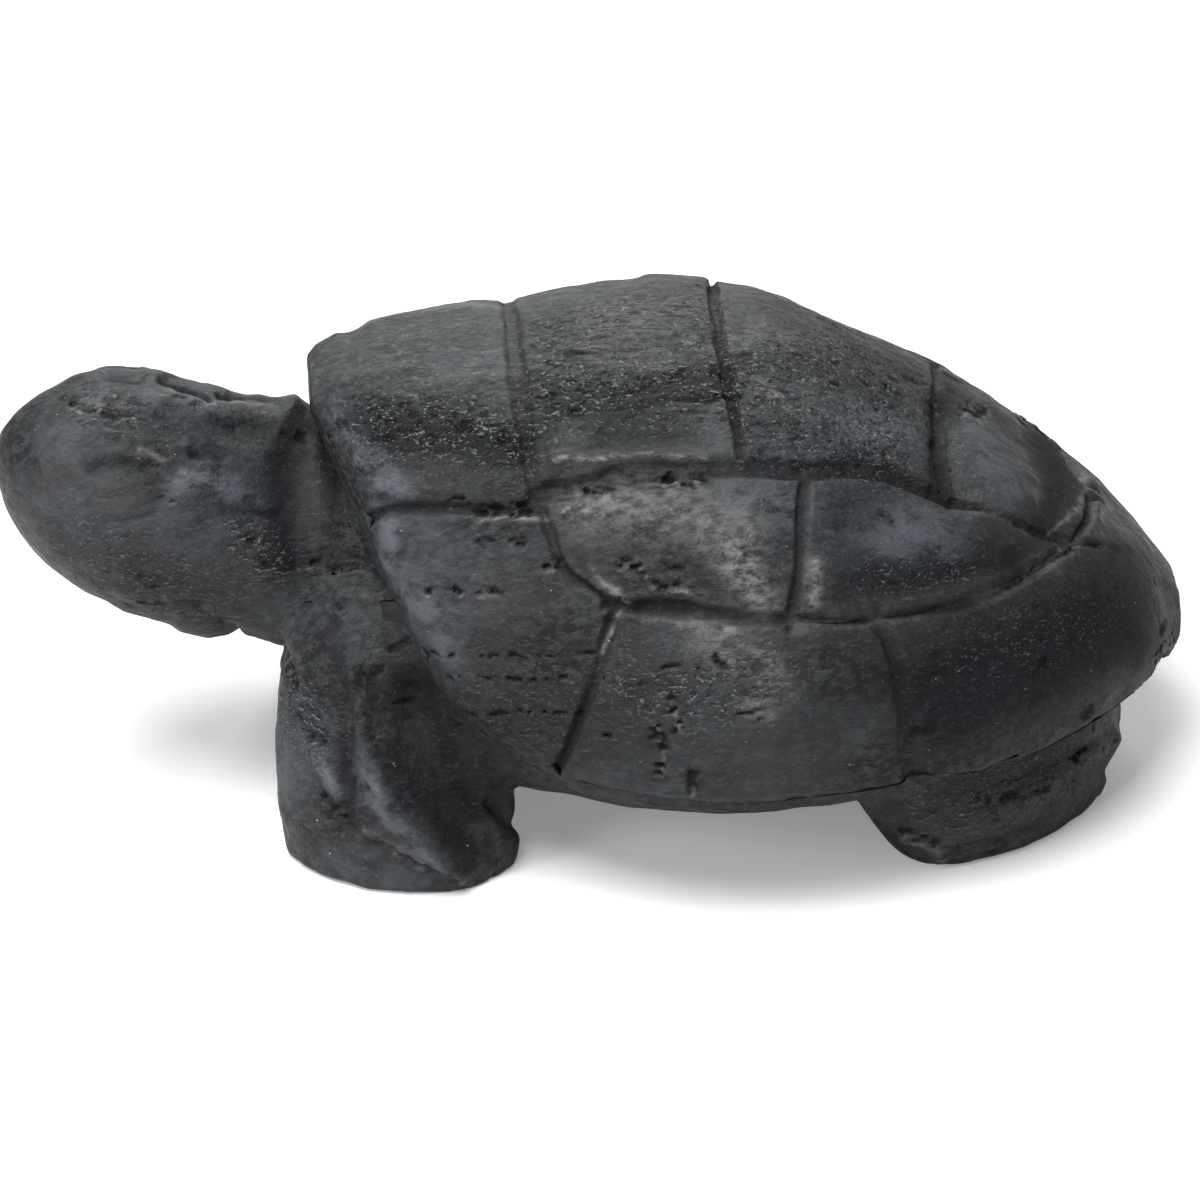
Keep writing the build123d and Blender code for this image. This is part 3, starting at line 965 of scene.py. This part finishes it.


# Colours of the stone, of its scratches and of the dust in its grooves, and of the reflections,
# light and shade painted on it
DARK_STONE = (0.010, 0.011, 0.013)
GREY_STONE = (0.036, 0.040, 0.0435)
FINE_GRAIN = (0.074, 0.081, 0.084)
BROWN_STAIN = (0.034, 0.029, 0.0255)
# a painted reflection, bluish, of the light on smooth facets
PAINTED_BLUE_REFLECTION = (0.130, 0.148, 0.170)
# painted light on faces turned up
PAINTED_TOP_LIGHT = (0.078, 0.088, 0.086)
DEEP_SHADE = (0.007, 0.008, 0.0105)
# painted shade in the grooves
GROOVE_SHADE = (0.010, 0.010, 0.011)
GROOVE_DUST = (0.046, 0.037, 0.029)
# pale crust and scratches, and painted highlights
PALE_CRUST_AND_HIGHLIGHT = (0.33, 0.318, 0.308)
# light flakes, and the painted highlight on the lower edge of each hole
FLAKE_AND_EDGE_HIGHLIGHT = (0.36, 0.385, 0.375)
CRYSTAL = (0.7, 0.71, 0.71)
# painted shade in holes, pits and chips
PIT_SHADE = (0.005, 0.005, 0.006)
# How much rough and smooth places show of the flakes and holes
ROUGH_SHARE = 0.92
SMOOTH_SHARE = 0.07


def node(tree, kind, **inputs):
    """Adds a shader node and sets its inputs by name."""
    added = tree.nodes.new(kind)
    for key, value in inputs.items():
        socket = key.replace("_", " ")
        if socket in added.inputs:
            added.inputs[socket].default_value = value
        else:
            setattr(added, key, value)
    return added


def stone_material():
    """Dark grey stone, rubbed smooth, with pale specks and brown dust left in its grooves;
    reflections, highlights and shade are painted into its colour.
    """
    material = bpy.data.materials.new("dark_stone")
    material.use_nodes = True
    tree = material.node_tree
    shader = tree.nodes["Principled BSDF"]
    place = tree.nodes.new("ShaderNodeTexCoord")

    # the grain runs along the body; raised takes the same grain from a little above, for the
    # painted highlight under each hole
    along = (0.6, 1.0, 1.0)
    stretch = node(tree, "ShaderNodeMapping", Scale=along)
    raised = node(tree, "ShaderNodeMapping", Scale=along, Location=(0, 0, 0.10 * MM))
    for mapping in (stretch, raised):
        tree.links.new(place.outputs["Object"], mapping.inputs["Vector"])

    def noise(size, detail=3.0, roughness=0.6, vector=stretch):
        added = node(
            tree, "ShaderNodeTexNoise", Scale=1 / size, Detail=detail, Roughness=roughness)
        tree.links.new(vector.outputs["Vector"], added.inputs["Vector"])
        return added.outputs["Fac"]

    def between(value, low, high, to_low=0.0, to_high=1.0):
        added = node(tree, "ShaderNodeMapRange")
        added.interpolation_type = "SMOOTHSTEP"
        sockets = ("From Min", "From Max", "To Min", "To Max")
        for socket, number in zip(sockets, (low, high, to_low, to_high)):
            added.inputs[socket].default_value = number
        tree.links.new(value, added.inputs["Value"])
        return added.outputs["Result"]

    def mixed(share, first, second):
        added = node(tree, "ShaderNodeMix", data_type="RGBA")
        tree.links.new(share, added.inputs["Factor"])
        for socket, value in ((added.inputs[6], first), (added.inputs[7], second)):
            if isinstance(value, tuple):
                socket.default_value = (*value, 1)
            else:
                tree.links.new(value, socket)
        return added.outputs[2]

    def mark(name):
        added = node(tree, "ShaderNodeAttribute", attribute_name=name)
        return added.outputs["Fac"]

    def maths(operation, first, second):
        added = node(tree, "ShaderNodeMath", operation=operation)
        for socket, value in zip(added.inputs, (first, second)):
            if isinstance(value, (int, float)):
                socket.default_value = value
            else:
                tree.links.new(value, socket)
        return added.outputs[0]

    def times(first, second):
        return maths("MULTIPLY", first, second)

    # the stone itself, from nearly black to grey, browner here and there
    cloud = between(noise(6 * MM, 4.0), 0.38, 0.62)
    fine = between(noise(0.5 * MM, 3.0, 0.7), 0.42, 0.64)
    color = mixed(cloud, DARK_STONE, GREY_STONE)
    color = mixed(times(fine, 0.55), color, FINE_GRAIN)
    color = mixed(between(noise(8 * MM, 3.0), 0.48, 0.60, 0.0, 0.5), color, BROWN_STAIN)
    # painted blue reflections, painted light on faces turned up, painted shade in hollows and
    # grooves, and dust left in the grooves
    painted_reflection = times(mark("reflection_paint"), between(noise(1.4 * MM, 5.0, 0.7), 0.36, 0.56))
    top_light_grain = between(noise(0.45 * MM, 3.0, 0.7), 0.40, 0.62, 0.25, 0.9)
    color = mixed(times(painted_reflection, 0.8), color, PAINTED_BLUE_REFLECTION)
    color = mixed(times(mark("top"), top_light_grain), color, PAINTED_TOP_LIGHT)
    color = mixed(times(mark("shade"), 0.82), color, DEEP_SHADE)
    color = mixed(times(mark("groove"), 0.6), color, GROOVE_SHADE)
    color = mixed(times(mark("dust"), 0.55), color, GROOVE_DUST)
    # pale crust and scratches with painted highlights, flakes and crystals
    pale = times(mark("pale"), between(noise(0.6 * MM, 5.0, 0.75), 0.34, 0.66))
    color = mixed(times(pale, 0.8), color, PALE_CRUST_AND_HIGHLIGHT)
    grainy = maths("ADD", times(mark("rough"), ROUGH_SHARE), SMOOTH_SHARE)
    flakes = times(between(noise(0.24 * MM, 2.0, 0.6), 0.61, 0.67), grainy)
    color = mixed(times(flakes, 0.75), color, FLAKE_AND_EDGE_HIGHLIGHT)
    specks = between(noise(0.22 * MM, 1.0), 0.775, 0.81)
    color = mixed(times(specks, between(noise(5 * MM), 0.50, 0.62)), color, CRYSTAL)
    # small holes painted dark as shade, each with a painted highlight on its edge below it, and the
    # pits and chips painted dark as shade
    hollow = between(noise(0.32 * MM, 2.0, 0.6), 0.46, 0.40)
    hollow_above = between(noise(0.32 * MM, 2.0, 0.6, raised), 0.42, 0.37)
    edges = times(maths("SUBTRACT", hollow_above, hollow), grainy)
    color = mixed(maths("MAXIMUM", times(edges, 0.7), 0.0), color, FLAKE_AND_EDGE_HIGHLIGHT)
    ragged = times(mark("pit"), between(noise(0.24 * MM, 2.0, 0.7), 0.34, 0.50, 0.35, 1.0))
    hole_shade = maths("MAXIMUM", times(hollow, grainy), ragged)
    color = mixed(times(hole_shade, 0.92), color, PIT_SHADE)
    tree.links.new(color, shader.inputs["Base Color"])
    # a low sheen, dull where the stone is rough, dusty, grooved or under painted shade
    dull = between(noise(1.2 * MM, 5.0, 0.7), 0.36, 0.62, 0.34, 0.56)
    for name, amount in (("rough", 0.7), ("dust", 0.85), ("groove", 0.8), ("shade", 0.95)):
        dull = maths("MAXIMUM", dull, times(mark(name), amount))
    tree.links.new(dull, shader.inputs["Roughness"])
    shader.inputs["Specular IOR Level"].default_value = 0.2
    # the finest relief: grain, holes and flakes
    height = maths("ADD", times(mark("rough"), 1.3), 0.5)
    coarse = times(noise(0.4 * MM, 4.0, 0.75), height)
    relief = maths("ADD", maths("ADD", coarse, times(hole_shade, -0.5)), times(flakes, 0.3))
    bump = node(tree, "ShaderNodeBump", Strength=1.0, Distance=0.35 * MM)
    tree.links.new(relief, bump.inputs["Height"])
    tree.links.new(bump.outputs["Normal"], shader.inputs["Normal"])
    return material


def floor_material():
    """A pale even surface, a little brighter to the camera."""
    material = bpy.data.materials.new("pale_floor")
    material.use_nodes = True
    tree = material.node_tree
    shader = tree.nodes["Principled BSDF"]
    shader.inputs["Base Color"].default_value = (*FLOOR_COLOR, 1)
    shader.inputs["Roughness"].default_value = 0.9
    shader.inputs["Specular IOR Level"].default_value = 0.1
    light = tree.nodes.new("ShaderNodeLightPath")
    amount = node(tree, "ShaderNodeMath", operation="MULTIPLY")
    amount.inputs[1].default_value = FLOOR_GLOW
    tree.links.new(light.outputs["Is Camera Ray"], amount.inputs[0])
    shader.inputs["Emission Color"].default_value = (1, 1, 1, 1)
    tree.links.new(amount.outputs[0], shader.inputs["Emission Strength"])
    return material


def dress_stone():
    """Makes the pieces of the turtle and puts each in the place of its CAD node."""
    material = stone_material()
    shell = carved_shell()
    flesh = carved_flesh()
    flesh_normals = flesh.normals()
    whole_shell = np.ones(len(shell.faces), bool)
    pieces = {"carapace": piece_from(shell, "carved_carapace", whole_shell, shell.normals())}
    face_owner = np.array([np.bincount(row).argmax() for row in flesh.owner[flesh.faces]])
    outer = outer_faces(flesh)
    for index, name in enumerate(FLESH_NODES):
        keep = (face_owner == index) & outer
        pieces[name] = piece_from(flesh, "carved_" + name, keep, flesh_normals)
    for name, piece in pieces.items():
        piece.data.materials.append(material)
        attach(piece, "root")
        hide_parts(name)


# The floor, and the glow that it has for the camera alone
FLOOR_HALF = 0.25
FLOOR_COLOR = (0.90, 0.90, 0.90)
FLOOR_GLOW = 0.24
# Lamps: name, place and size in metres, and power in watts
LAMPS = (
    ("above", (0.13, 0.12, 0.54), 0.32, 3.6),
    ("back", (-0.05, -0.50, 0.30), 0.25, 1.4),
    ("left", (0.50, 0.25, 0.28), 0.22, 1.15),
)
LAMP_AIM = (0, 0, 0.015)
# The room: its colour, its strength as light and as the camera sees it
ROOM_COLOR = (0.9, 0.94, 1.0)
ROOM_LIGHT = 0.12
ROOM_SEEN = 1.0


def add_floor():
    """A pale floor under the feet, as wide as the lamp above lights it evenly."""
    half = FLOOR_HALF
    corners = [(-half, -half, 0), (half, -half, 0), (half, half, 0), (-half, half, 0)]
    mesh = bpy.data.meshes.new("floor")
    mesh.from_pydata(corners, [], [(0, 1, 2, 3)])
    floor = placed("floor", mesh)
    mesh.materials.append(floor_material())


def add_lamp(name, place, size, watts):
    """A square soft lamp that looks at the figure."""
    light = bpy.data.lights.new(name, "AREA")
    light.shape = "SQUARE"
    light.size = size
    light.energy = watts
    lamp = placed(name, light)
    lamp.location = place
    lamp.rotation_euler = (Vector(LAMP_AIM) - Vector(place)).to_track_quat("-Z", "Y").to_euler()


def add_lights():
    """Soft light from above, weaker lamps at the back and before the head, a pale room."""
    for lamp in LAMPS:
        add_lamp(*lamp)
    world = bpy.data.worlds.new("room")
    bpy.context.scene.world = world
    world.use_nodes = True
    tree = world.node_tree
    back = tree.nodes["Background"]
    back.inputs["Color"].default_value = (*ROOM_COLOR, 1)
    light = tree.nodes.new("ShaderNodeLightPath")
    strength = node(tree, "ShaderNodeMapRange")
    strength.inputs["To Min"].default_value = ROOM_LIGHT
    strength.inputs["To Max"].default_value = ROOM_SEEN
    tree.links.new(light.outputs["Is Camera Ray"], strength.inputs["Value"])
    tree.links.new(strength.outputs["Result"], back.inputs["Strength"])


def add_camera():
    """The photograph's view."""
    eye, _, _, ahead = camera_axes()
    lens = bpy.data.cameras.new("view")
    lens.sensor_width = SENSOR
    lens.lens = SENSOR * FOCAL_PX / PHOTO_SIZE
    lens.shift_x = (PHOTO_SIZE / 2 - TARGET_PX[0]) / PHOTO_SIZE
    lens.shift_y = (TARGET_PX[1] - PHOTO_SIZE / 2) / PHOTO_SIZE
    lens.clip_start = 0.01
    lens.clip_end = 10.0
    camera = placed("view", lens)
    camera.location = eye
    camera.rotation_euler = Vector(ahead).to_track_quat("-Z", "Y").to_euler()
    bpy.context.scene.camera = camera


dress_stone()
add_floor()
add_lights()
add_camera()
bpy.context.scene.view_settings.view_transform = "Standard"
